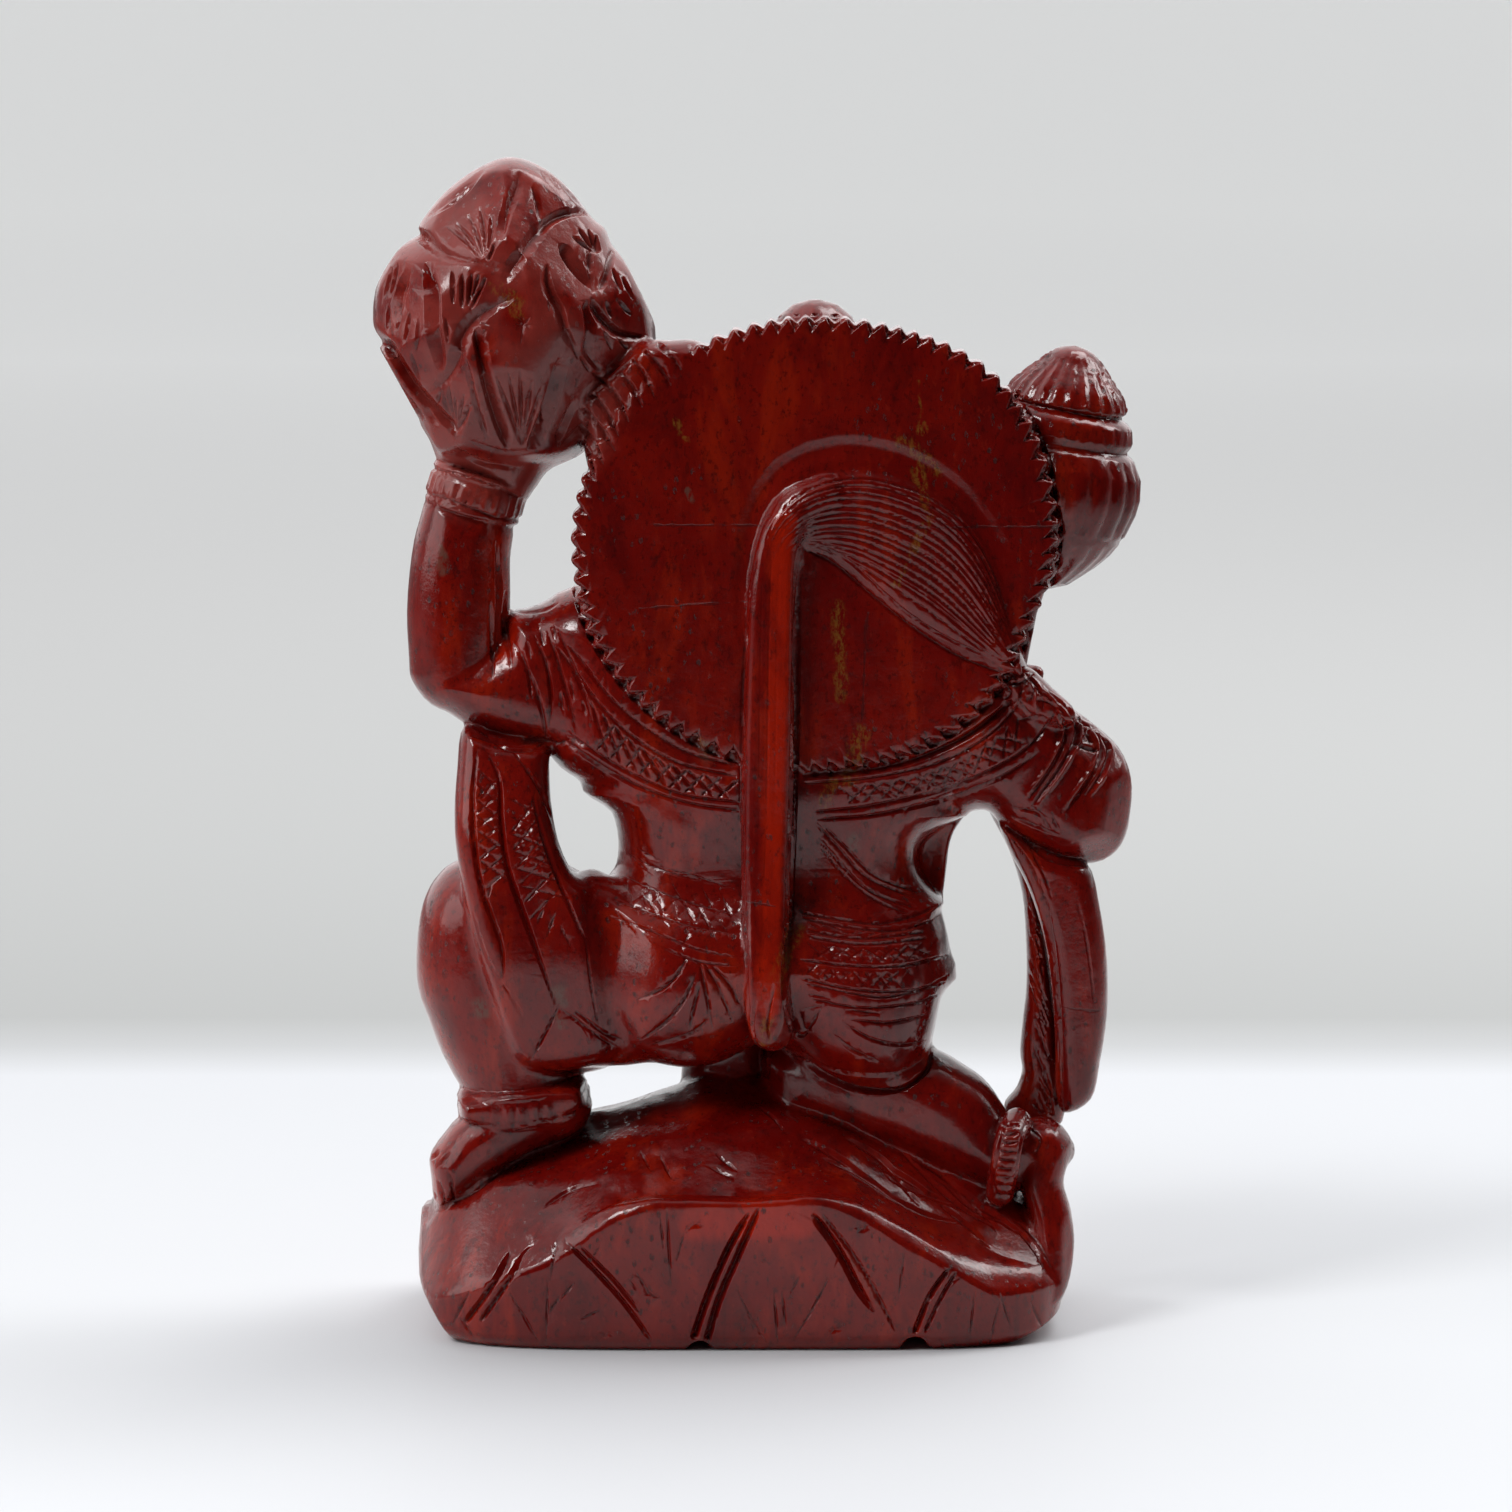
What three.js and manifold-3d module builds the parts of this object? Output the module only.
// Hanuman kneeling on a rock mound, carved from one block of polished red jasper.
// He kneels on his right knee with the left foot set down, lifts a mountain on his left hand
// and holds a mace at his right side. A flat toothed halo stands behind his head and shoulders,
// and his tail runs up the back and ends in a leaf-shaped tuft laid over the halo.
//
// Millimetres, +Z up, the figure looks along +Y, its back is towards -Y and its left side is at -X.
// The carving is one solid. Its origin is under the middle of its box, on the standing face.
import * as THREE from "three";
import { mergeVertices } from "three/addons/utils/BufferGeometryUtils.js";
import Module from "manifold-3d";

// ---------------------------------------------------------------- driving sizes
const BASE_HALF_W = 65.4, BASE_HALF_D = 36.4, BASE_X = -3.2, BASE_EXP = 4.4; // rock mound, plan superellipse
const HALO_X = 11.4, HALO_Z = 158.0;                     // centre of the halo disc
const HALO_HALF_W = 48.7, HALO_HALF_H = 45.6;            // to the tips of its teeth
const HALO_BACK = -16.5, HALO_FRONT = -8.0;              // its two faces in Y
const HALO_TEETH = 74, TOOTH_DEEP = 2.3, RIM_BEVEL = 3.3;
const MOUNTAIN = [-48.7, 0, 202], MOUNTAIN_HALF_D = 24;
const MACE_TOP = [63.8, 4, 195.5], MACE_FOOT = [54.8, 4, 145.5], MACE_FLUTES = 11;
const CROWN = [11.8, 7, 173.5], CROWN_PETALS = 9;
const HEAD = [11.8, 6, 160.6];
const GROOVE = 1.5;                                      // half width of the leaf grooves on the mound
const JASPER = { color: 0x6b1410, roughness: 0.24, metalness: 0.0 };

const wasm = await Module();
wasm.setup();

// ---------------------------------------------------------------- helpers
const V = (a) => new THREE.Vector3(...a);
const mix = (a, b, t) => a + (b - a) * t;

// Value of a table of numbers at fraction t of its length, on a smooth curve.
function smooth(list, t, closed = false) {
  const n = list.length, x = closed ? (((t % 1) + 1) % 1) * n : t * (n - 1);
  const i = Math.min(Math.floor(x), closed ? n - 1 : Math.max(n - 2, 0)), f = x - i;
  const g = (k) => (closed ? list[((k % n) + n) % n] : list[Math.max(0, Math.min(n - 1, k))]);
  const [a, b, c, d] = [g(i - 1), g(i), g(i + 1), g(i + 2)];
  return 0.5 * (2 * b + (c - a) * f + (2 * a - 5 * b + 4 * c - d) * f * f + (3 * b - a - 3 * c + d) * f * f * f);
}

// Straight-line value of rows [x, value] at x.
function along(rows, x) {
  if (x <= rows[0][0]) return rows[0][1];
  for (let i = 1; i < rows.length; i++)
    if (x <= rows[i][0]) return mix(rows[i - 1][1], rows[i][1], (x - rows[i - 1][0]) / (rows[i][0] - rows[i - 1][0]));
  return rows[rows.length - 1][1];
}

// Moves every vertex of a geometry by fn(v), and returns it as a closed solid.
function solid(geometry, fn) {
  const p = geometry.attributes.position, v = new THREE.Vector3();
  if (fn) for (let i = 0; i < p.count; i++) {
    v.fromBufferAttribute(p, i);
    fn(v);
    p.setXYZ(i, v.x, v.y, v.z);
  }
  geometry.deleteAttribute("normal");
  geometry.deleteAttribute("uv");
  const g = mergeVertices(geometry, 1e-4);
  const tris = [], index = g.index.array, at = g.attributes.position.array;
  for (let i = 0; i < index.length; i += 3) {
    const [a, b, c] = [index[i], index[i + 1], index[i + 2]];
    if (a !== b && b !== c && a !== c) tris.push(a, b, c);
  }
  let volume = 0;
  for (let i = 0; i < tris.length; i += 3) {
    const [a, b, c] = [0, 1, 2].map((k) => new THREE.Vector3().fromArray(at, 3 * tris[i + k]));
    volume += a.dot(b.cross(c));
  }
  if (volume < 0) for (let i = 0; i < tris.length; i += 3) [tris[i + 1], tris[i + 2]] = [tris[i + 2], tris[i + 1]];
  return new wasm.Manifold(new wasm.Mesh({ numProp: 3, vertProperties: new Float32Array(at), triVerts: new Uint32Array(tris) }));
}

// A limb, strap or tail along a smooth centre line: rows [x, y, z, half width, half depth].
// It is a lathed spindle whose rings are carried along the line; cap is how far its round ends
// reach, flat cuts them square, teeth notch its outline, and square above 1 squares its section.
function limb(rows, { sides = 8, steps = 1, cap = 0.8, flat = false, square = 1, teeth = 0, notch = 0.04, up = [0, 1, 0] } = {}) {
  const curve = new THREE.CatmullRomCurve3(rows.map((r) => V(r)));
  const W = rows.map((r) => r[3]), D = rows.map((r) => r[4] ?? r[3]);
  const rings = [], n = (rows.length - 1) * steps;
  const ends = flat ? [[0, 0]] : [[0, cap], [0.72, 0.69 * cap]];
  for (const [r, out] of ends) rings.push([r, 0, -out]);
  for (let i = 0; i <= n; i++) rings.push([1, i / n, 0]);
  for (const [r, out] of ends.reverse()) rings.push([r, 1, out]);
  const profile = rings.map(([r], i) => new THREE.Vector2(r, i));
  const T = new THREE.Vector3(), N = new THREE.Vector3(), B = new THREE.Vector3(), U = V(up);
  return solid(new THREE.LatheGeometry(profile, sides), (v) => {
    const [r, t, ext] = rings[Math.round(v.y)], a = Math.atan2(v.x, v.z);
    const w = smooth(W, t), d = smooth(D, t);
    curve.getTangent(t, T);
    N.crossVectors(U, T).normalize();
    B.crossVectors(T, N).normalize();
    const q = r * (teeth ? 1 + notch * Math.cos(teeth * a) : 1);
    const sq = (x) => Math.sign(x) * Math.abs(x) ** (1 / square);
    curve.getPoint(t, v);
    v.addScaledVector(N, w * q * sq(Math.cos(a))).addScaledVector(B, d * q * sq(Math.sin(a)));
    v.addScaledVector(T, ext * Math.min(w, d));
  });
}

// A swelling mass: its outline seen along Y is a smooth closed curve through radii spaced evenly
// round its centre, and it is 2*depth thick. round above 2 fills its corners; lean shifts it in Y.
function mass([cx, cy, cz], radii, depth, { sides = 20, rings = 8, round = 2.3, lean = () => 0, cut = () => 1 } = {}) {
  return solid(new THREE.SphereGeometry(1, sides, rings), (v) => {
    const a = Math.atan2(v.z, v.x), s = Math.min(1, Math.hypot(v.x, v.z)) ** (2 / round);
    const r = smooth(radii, a / (2 * Math.PI), true) * s * cut(a, v.y);
    const y = Math.sign(v.y) * Math.abs(v.y) ** (2 / round) * depth;
    v.set(cx + r * Math.cos(a), 0, cz + r * Math.sin(a));
    v.y = cy + y + lean(v.x, v.z);
  });
}

// An ellipsoid with half axes r, turned by rot degrees about Y.
function ball(c, r, { sides = 10, rings = 5, rot = 0 } = {}) {
  const R = new THREE.Matrix4().makeRotationY(THREE.MathUtils.degToRad(rot));
  return solid(new THREE.SphereGeometry(1, sides, rings), (v) => v.multiply(V(r)).applyMatrix4(R).add(V(c)));
}

// A turned form about the line a to b: profile rows [distance from a, radius], both ends on the axis.
function turned(a, b, profile, { sides = 24, flutes = 0, deep = () => 0 } = {}) {
  const A = V(a), axis = V(b).sub(A).normalize();
  const Q = new THREE.Quaternion().setFromUnitVectors(new THREE.Vector3(0, 1, 0), axis);
  const pts = profile.map(([t, r]) => new THREE.Vector2(r, t));
  return solid(new THREE.LatheGeometry(pts, sides), (v) => {
    const k = 1 + deep(v.y) * Math.cos(flutes * Math.atan2(v.x, v.z));
    v.x *= k; v.z *= k;
    v.applyQuaternion(Q).add(A);
  });
}

// ---------------------------------------------------------------- rock mound
// Height of the mound along X at its back rim, over its crest and at its front rim.
const RIM_BACK = [[-66,12],[-62,14.5],[-51,19],[-39,23],[-29,29],[-21,30.8],[0,30.4],[12,31.6],[20,30],[28,25.5],[38,19.5],[47,14],[60,11]];
const CREST = [[-66,22],[-64,31],[-56,36],[-46,39],[-39,40.5],[-30,42.5],[-19,46],[-11,49],[0,48.5],[12,45.6],[24,40.4],[36,35.6],[48,31.5],[60,25]];
const RIM_FRONT = [[-66,16],[-62,19.5],[-50,27],[-38,34.5],[-26,40.5],[-11,44.5],[5,44.5],[20,39.5],[36,31.5],[48,24.5],[60,16.5]];
const sideIn = (z) => 1 - 0.02 * Math.abs(z / 30 - 0.5) - 0.12 * Math.max(0, 1 - z / 5) ** 2;
function planPoint(a, z, s = 1) {
  const c = Math.cos(a), d = Math.sin(a), r = (Math.abs(c) ** BASE_EXP + Math.abs(d) ** BASE_EXP) ** (-1 / BASE_EXP);
  return [BASE_X + c * r * s * BASE_HALF_W * sideIn(z), d * r * s * (BASE_HALF_D * sideIn(z) - z / 12)];
}
function moundTop(x, y) {
  const t = THREE.MathUtils.clamp((y + 31) / 31, 0, 1), u = THREE.MathUtils.smoothstep(y, 0, 36);
  return mix(mix(along(RIM_BACK, x), along(CREST, x), t * (2 - t) * 0.6 + t * 0.4), along(RIM_FRONT, x), u);
}
function mound() {
  // rings: underside, side courses, then the top in to the middle; k is the share of the rim height
  const rings = [[0, 0, 0], [1, 0, 0], [1, 0.14, 0], [1, 0.93, 0], [0.95, 1, 1], [0.74, 1, 1], [0.46, 1, 1], [0, 1, 1]];
  return solid(new THREE.LatheGeometry(rings.map(([r], i) => new THREE.Vector2(r, i)), 36), (v) => {
    const [r, k, top] = rings[Math.round(v.y)], a = Math.atan2(v.x, v.z);
    if (k === 0) { const [x, y] = planPoint(a, 0, r); v.set(x, y, 0); return; }
    let [x, y] = planPoint(a, 20, r);
    if (top) { v.set(x, y, moundTop(x, y)); return; }
    const z = moundTop(x, y) * k - (k > 0.9 ? 0.6 : 0);
    [x, y] = planPoint(a, z, r);
    v.set(x, y, z);
  });
}
// Y of the side wall at x and height z; side is -1 for the back, 1 for the front.
function wallY(x, z, side) {
  const q = Math.min(1, Math.abs((x - BASE_X) / (BASE_HALF_W * sideIn(z))));
  return side * (1 - q ** BASE_EXP) ** (1 / BASE_EXP) * (BASE_HALF_D * sideIn(z) - z / 12);
}
// The leaf grooves: rows [x, z at the top, x, z at the foot].
const LEAVES_BACK = [[0, 29, -11, 1.5], [12, 28, 28, 4], [40, 17, 32, 2], [-38, 21, -21, 2], [-45, 20, -58, 4]];
const LEAVES_FRONT = [[-44, 24, -54, 4], [-34, 30, -22, 3], [-8, 38, -18, 3], [2, 38, 14, 3], [34, 28, 24, 3], [44, 22, 52, 4]];
function leafGrooves() {
  const cut = [];
  for (const [rows, side] of [[LEAVES_BACK, -1], [LEAVES_FRONT, 1]])
    for (const [x1, z1, x2, z2] of rows) {
      const pts = [0, 0.5, 1].map((t) => [mix(x1, x2, t), wallY(mix(x1, x2, t), mix(z1, z2, t), side) + side * 0.35, mix(z1, z2, t), GROOVE * mix(0.8, 1.1, t)]);
      cut.push(limb(pts, { sides: 4, flat: true }));
    }
  return cut;
}

// ---------------------------------------------------------------- halo
function halo() {
  // rings: back middle, back face, its edge, the toothed rim, front face, front middle. The edge has one
  // point to a tooth and the face rings one to two teeth, so the flat faces stay in few triangles.
  const LAST = 5;
  return solid(new THREE.LatheGeometry([0, 1, 1, 1, 1, 0].map((r, i) => new THREE.Vector2(r, i)), HALO_TEETH * 2), (v) => {
    const i = Math.round(v.y);
    let a = Math.atan2(v.x, v.z);
    if (i === 0 || i === LAST) { v.set(HALO_X, i ? HALO_FRONT : HALO_BACK, HALO_Z); return; }
    const step = Math.PI / HALO_TEETH, k = Math.round(a / step);
    if (i === 2) a = step * (2 * Math.floor(k / 2) + 0.5);
    if (i === 1 || i === 4) a = step * 4 * Math.floor((((k % (2 * HALO_TEETH)) + 2 * HALO_TEETH) % (2 * HALO_TEETH)) / 4 + 0.01) + 1.5 * step;
    const c = Math.cos(a), s = Math.sin(a), n = c > 0 && s > 0 ? mix(2.05, 2.35, 4 * c * c * s * s) : 2.05;
    const r = (Math.abs(c / HALO_HALF_W) ** n + Math.abs(s / HALO_HALF_H) ** n) ** (-1 / n);
    const tip = k % 2 === 0 ? 0 : 1;
    const q = r - [0, 8, RIM_BEVEL, tip * TOOTH_DEEP, 8][i];
    v.set(HALO_X + c * q, [0, HALO_BACK, HALO_BACK, mix(HALO_BACK + 4.4, HALO_FRONT - 0.8, tip), HALO_FRONT][i], HALO_Z + s * q);
  });
}

// ---------------------------------------------------------------- the carving
const parts = [
  // left leg, set down: thigh, knee and shin in one swelling lobe
  mass([-46.6, 3.5, 66.7], [23.5,25.5,25,26,28,28,26.6,23.4,21.4,21,22.6,25,24,22.5,23,23], 17.5, { sides: 20, rings: 6, round: 2.5 }),
  limb([[-11.3, 2, 66.9,15,15],[-31.5, 6, 70.3,16,16],[-47.9, 12, 76.1,13,16],[-54.2, 17, 76.7,11,12]], { sides: 10 }),
  limb([[-46.4, -5, 42.3,12.8,11.8],[-47, -5, 47.2,12.8,11.8]], { sides: 24, flat: true, teeth: 12, notch: 0.03 }),
  limb([[-36.9, -6, 42.5,4.5,8],[-44.3, -7, 40.7,7,9.5],[-51.3, -8, 36.8,7.6,9.5],[-58.8, -8, 32.7,7.8,9],[-62, -8, 28.2,5.4,7.5]], { cap: 0.9 }),
  // right leg, kneeling: thigh forward to the knee, shin back to the raised heel
  limb([[21, 4, 66.6,15,15],[15.1, 13, 53.6,14,14],[9, 21, 42.1,12,12.5]], { sides: 10, up: [1, 0, 0] }),
  limb([[6.9, 10, 45.9,8.5,11],[14.9, 1, 47.1,10.2,12],[24.9, -3, 46.2,11.6,12],[34.9, -5, 43.3,11.2,11],[44.9, -8, 39,9.4,9.6],[52, -11, 35.4,6.8,7.6]], { sides: 10 }),
  limb([[50.2, -11, 34.3,8.2,8.4],[53, -11, 33.1,8.2,8.4]], { sides: 20, flat: true, teeth: 10, notch: 0.04 }),
  limb([[51.2, -12, 36,6.5,6.5],[56.7, -12, 37,5.4,6],[60.8, -11, 36.6,3.6,5]], { sides: 10 }),
  limb([[58.4, -11, 38.2,3.4,6],[58.2, -12, 33.9,5,7],[57.8, -13, 28,4.4,6.5],[59.2, -14, 20.1,4.6,6.5],[59.1, -17, 12.2,3.6,5]], { cap: 0.7 }),
  // hips, waist and back
  mass([4.8, -1, 69.5], [34.5,35.5,26.5,22,21.5,23.5,29.5,40,36.5,36.5,25.5,16,15,21.5,32.5,34], 20, { sides: 20, rings: 6, round: 2.2 }),
  ball([-13.2, -8, 68.7], [17, 14, 16]),
  ball([21.2, -8, 65.7], [16, 14, 16.5]),
  limb([[2.8, 0, 106.9,32,13],[2.2, -1, 99,31.2,14.6],[2.2, -1, 92.5,30,15.2],[3.4, -1, 84.8,33.2,15.6],[3.8, -2, 74.8,34.5,17]], { sides: 12, flat: true }),
  mass([6.8, 0, 119], [51,46,45,41.5,39.5,38,38,41.5,49.5,51.5,50,43,36.5,30,26.5,25,25.5,29,34.5,46.5], 15.6, { sides: 22, rings: 6, round: 2.4, lean: (x, z) => 3 * THREE.MathUtils.smoothstep(z, 100, 135) }),
  ball([5.8, 8, 110.8], [26, 13, 18], { sides: 10 }),
  ball([3.8, 8, 83.3], [23, 13.5, 19], { sides: 10 }),
  // right arm: shoulder, bent elbow, forearm brought forward, fist on the mace
  mass([58.8, 0, 110], [16,14.4,14,15,18.3,19,22,22,17,14,14.5,17.5,20.4,16.8], 11.5, { sides: 16, rings: 6, round: 2.4 }),
  limb([[68, 2, 99.5,8.5,9],[65.2, 13, 104,8,8],[58.7, 23, 112.8,6.6,6.8],[53.4, 25, 118.9,5.6,6]], { up: [1, 0, 0] }),
  ball([51.2, 25, 121.8], [7, 7, 7.6], { sides: 10, rings: 6 }),
  // left arm: upper arm, forearm, bangle, hand
  limb([[-62.1, 0, 128.9,6.6,8.5],[-55.1, 0, 128.3,9,10],[-48.1, 0, 130.1,12.5,10.8],[-39.1, 0, 130.9,15.2,11],[-29.1, -1, 129.2,14.5,11]], { sides: 10 }),
  limb([[-56.5, 0, 166.8,6.9,8],[-57.7, 0, 160.2,9.8,9.4],[-58.7, 0, 151.2,10.4,9.8],[-59.2, 0, 140.2,10.6,10],[-59.5, 0, 132.1,10,10],[-59.1, 0, 126.7,8,8.5]], { sides: 10 }),
  limb([[-56.7, 0, 164.2,9.9,9.9],[-55, 0, 169,9.9,9.9]], { sides: 24, flat: true, teeth: 12, notch: 0.035 }),
  mass([-48.8, 0, 175.2], [14.5,15.5,11.5,10.5,12,17,15,12,9.5,10,9.5,8.5], 9, { sides: 20, rings: 6 }),
  // the mountain, with flat facets meeting on ridges
  mass(MOUNTAIN, [27.5,25.5,25,28.5,31,28,25.5,26.5,27,26.5,27.5,30.5,30,30.5,27.5,27.5], MOUNTAIN_HALF_D, { sides: 20, rings: 8, round: 2.25,
    cut: (a, y) => 1 - 0.05 * (1 - Math.abs(y)) ** 0 * Math.abs(y) * Math.abs(Math.sin(3.5 * a + 4 * y)) - 0.03 * Math.abs(Math.sin(9 * y + a)) * Math.abs(y) }),
  // scarf ends: the left one falls from the elbow over the thigh, the right ones from the elbow to the heel
  limb([[-50.5, -2, 119.3,8.8,5.5],[-50.4, -7, 105.9,9.6,6],[-48, -12, 94.6,11,6.5],[-44, -14, 82.9,12.6,7],[-40.9, -14, 70.8,12.2,7],[-38.6, -13, 59.5,11.2,6.5],[-36.9, -13, 54.1,9.2,5.5]], { square: 1.5, cap: 0.5 }),
  limb([[57.8, -2, 98.1,8,5.5],[60.4, -3, 89.2,6.8,6],[63.9, -3, 76,6.1,6],[65.1, -3, 58.7,5.2,6],[64.3, -3, 48,4,5.5],[63.8, -3, 43.5,2.2,3.5]], { square: 1.4, cap: 0.5 }),
  limb([[49.8, 3, 101.4,3.6,4],[53.9, 4, 92.1,2.8,4.5],[56.6, 4, 80.9,2.2,4.5],[57.7, 4, 65.6,3.6,4.5],[57.4, 4, 51.2,4.5,5],[56.6, 2, 41.7,5.5,6]], { square: 1.3, cap: 0.5 }),
  limb([[41.3, 3, 105.7,4,3],[37.6, 5, 97,2.4,1.6],[36.2, 4, 88,2.4,1.8],[35, 2, 81.2,3.4,3.4]]),
  // tail up the back, and its leaf-shaped tuft on the halo
  limb([[3.2, -21, 62,4.8,4.2],[2.4, -20.5, 76,4.7,4.2],[2.4, -17.5, 88.5,4.6,4.2],[3, -16.5, 107.3,4.6,4.2],[4.1, -16.5, 135.2,4.6,4],[4.9, -16.5, 155,4.6,4],[7.7, -16.2, 163.8,4.6,3.6],[14.5, -16, 167.3,4.4,2.8]], { square: 1.2 }),
  limb([[7.6, -16.2, 164.4,4,2.6],[18, -16, 164,8.8,3],[30.6, -16, 154.7,11.8,3],[39.7, -16, 146.2,9.6,2.8],[46.4, -16, 138.7,5.6,2.4],[51.6, -15.5, 133.1,1.4,1.6]], { sides: 10 }),
  // mace: fluted cone on a collar over a fluted bulb, with its shaft down to the fist
  turned(MACE_TOP, MACE_FOOT, [[0,0],[1,4],[9.8,12.4],[12.4,11.2],[13.8,13.8],[18,15],[20.6,16.4],[28,18.1],[36,17.2],[43,12.6],[49.5,3.6],[91,3.8],[91.5,0]],
    { sides: 2 * MACE_FLUTES, flutes: MACE_FLUTES, deep: (t) => t > 19 && t < 46 ? 0.045 : t > 0.5 && t < 11 ? 0.06 : 0 }),
  // head in front of the halo: skull, muzzle, brow, cheeks, ears and ear discs
  ball(HEAD, [14, 15, 16]),
  limb([[10.4, 3, 134.8,11,10],[11.2, 4, 147.8,8.5,9]], { sides: 10 }),
  ball([11.9, 19, 153.6], [8, 7.4, 6.6], { sides: 10 }),
  ball([11.9, 17, 150.8], [6.6, 6.6, 5], { sides: 10 }),
  ball([12, 25, 155.4], [3, 2.2, 1.9], { sides: 8, rings: 5 }),
  limb([[HEAD[0] - 10, 14.5, HEAD[2] + 6.5, 2], [HEAD[0] - 4.5, 18.6, HEAD[2] + 7.6, 2.2], [HEAD[0], 19.2, HEAD[2] + 6.4, 1.8], [HEAD[0] + 4.5, 18.6, HEAD[2] + 7.6, 2.2], [HEAD[0] + 10, 14.5, HEAD[2] + 6.5, 2]], { sides: 8, up: [0, 0, 1] }),
  ...[-1, 1].flatMap((s) => [
    ball([HEAD[0] + s * 5.2, 18.0, HEAD[2] + 2.8], [3, 2.2, 1.9], { sides: 8, rings: 5 }),
    ball([HEAD[0] + s * 9, 13.6, HEAD[2] - 4.5], [5, 5, 5.5], { sides: 8, rings: 5 }),
    ball([HEAD[0] + s * 15, 5, HEAD[2] + 1], [3.4, 2.4, 5.4], { sides: 8, rings: 5 }),
    ball([HEAD[0] + s * 15.6, 7, HEAD[2] - 7.5], [3, 2.6, 3], { sides: 8, rings: 5 }),
  ]),
  // domed crown with a petalled band
  turned(CROWN, [CROWN[0], CROWN[1], CROWN[2] + 40], [[-2,0],[-2,14],[4.6,14.3],[5.8,12.8],[14,12.8],[23,10.2],[28.4,6.6],[30.8,3],[31.4,0]],
    { sides: 2 * CROWN_PETALS, flutes: CROWN_PETALS, deep: (t) => (t > 6 && t < 30 ? 0.05 : 0) }),
  // cloth pleats falling in front between the legs, under a sash
  limb([[-2.2, 12, 72.4,9,8],[-4.1, 13, 57.7,8.5,8],[-5.3, 13, 46.4,7.4,8],[-5.7, 12, 38.3,7.6,8]], { sides: 14, square: 1.3, teeth: 7, notch: 0.06 }),
  limb([[-11.3, 11, 81.8,17,9],[3.9, 16, 78.3,17,7],[21.1, 11, 81.8,17,9]].map(([x, y, z, , d]) => [x, y, z, 3, d]), { sides: 10 }),
  halo(),
  // rock ribs between the mountain and the halo
  limb([[-33.8, -3, 185,5,7],[-26.5, -4, 191,6.5,7],[-17.3, -6, 196.2,3.5,6]]),
];
let figure = mound();
for (const cut of leafGrooves()) figure = figure.subtract(cut);
for (const p of parts) figure = figure.add(p);

// ---------------------------------------------------------------- scene graph
const mesh = figure.getMesh(), geometry = new THREE.BufferGeometry();
geometry.setAttribute("position", new THREE.BufferAttribute(new Float32Array(mesh.vertProperties), 3));
geometry.setIndex(new THREE.BufferAttribute(new Uint32Array(mesh.triVerts), 1));
geometry.computeBoundingBox();
const middle = geometry.boundingBox.getCenter(new THREE.Vector3());
geometry.computeVertexNormals();

const carving = new THREE.Mesh(geometry, new THREE.MeshStandardMaterial(JASPER));
carving.name = "hanuman_figure";
carving.position.set(-middle.x, -middle.y, -geometry.boundingBox.min.z);

const group = new THREE.Group();
group.add(carving);
export default group;
